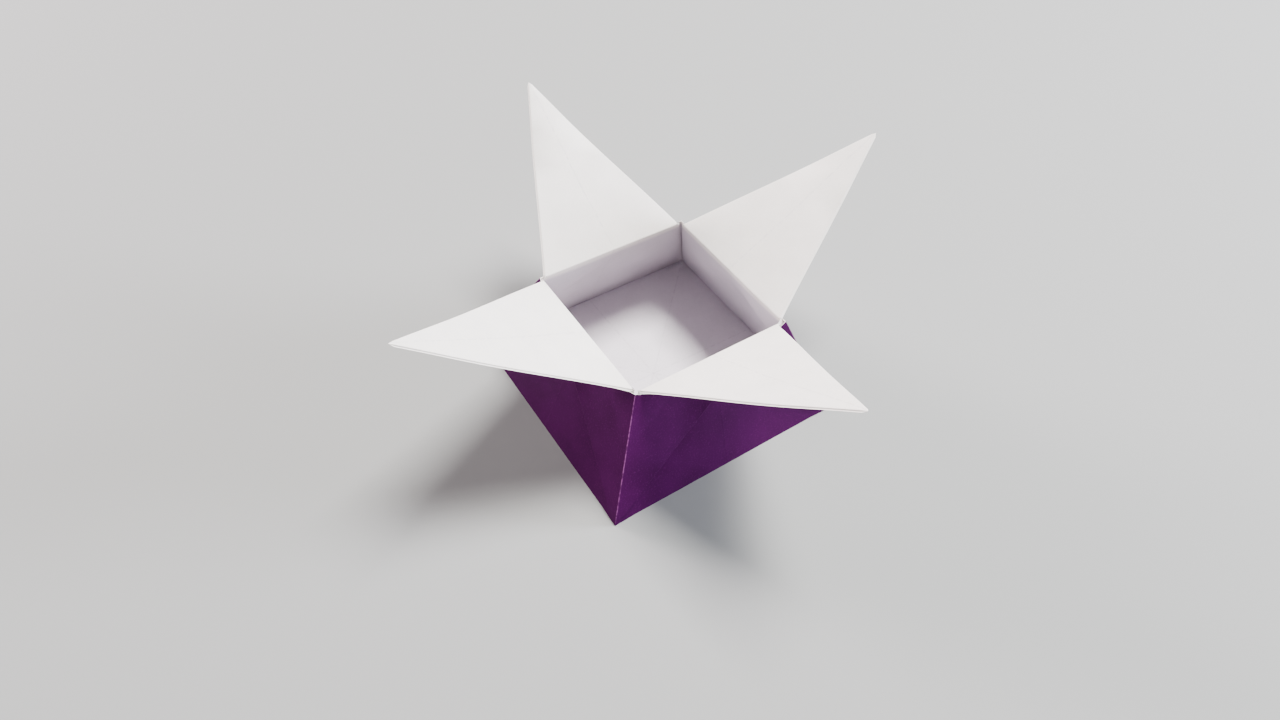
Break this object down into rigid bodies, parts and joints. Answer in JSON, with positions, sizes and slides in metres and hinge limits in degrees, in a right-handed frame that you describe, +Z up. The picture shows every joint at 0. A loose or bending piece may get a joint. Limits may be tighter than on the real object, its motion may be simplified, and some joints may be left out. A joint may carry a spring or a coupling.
{
  "type": "folded paper box",
  "caption": "Small square box folded from one sheet of paper, purple outside and white inside, with leaning walls, pleated corners and pointed flaps that open outwards.",
  "frame": {"origin": "centre of the floor's underside, which rests on the table", "axes": "+Z up; X and Y square to the floor's sides, so each flap opens along one of them; the corner nearest the picture's camera is at +X -Y"},
  "size_m": [0.1202, 0.1215, 0.0515],
  "materials": {
    "coloured_paper": "matt",
    "white_paper": "matt"
  },
  "bodies": {
    "box": {"box_body": "coloured_paper"},
    "right_flap": {"flap_right": "white_paper"},
    "back_flap": {"flap_back": "white_paper"},
    "left_flap": {"flap_left": "white_paper"},
    "front_flap": {"flap_front": "white_paper"}
  },
  "joints": [
    {"name": "right_flap_fold", "type": "hinge", "parent": "box", "child": "right_flap", "pos_m": [0.02018, 0, 0.02664], "axis": [0, -1, 0], "range_deg": [-41.5, 81.5]},
    {"name": "back_flap_fold", "type": "hinge", "parent": "box", "child": "back_flap", "pos_m": [0, 0.02018, 0.02664], "axis": [1, 0, 0], "range_deg": [-42, 81]},
    {"name": "left_flap_fold", "type": "hinge", "parent": "box", "child": "left_flap", "pos_m": [-0.02018, 0, 0.02664], "axis": [0, 1, 0], "range_deg": [-39.5, 83.5]},
    {"name": "front_flap_fold", "type": "hinge", "parent": "box", "child": "front_flap", "pos_m": [0, -0.02018, 0.02664], "axis": [-1, 0, 0], "range_deg": [-35.5, 87.5]}
  ]
}
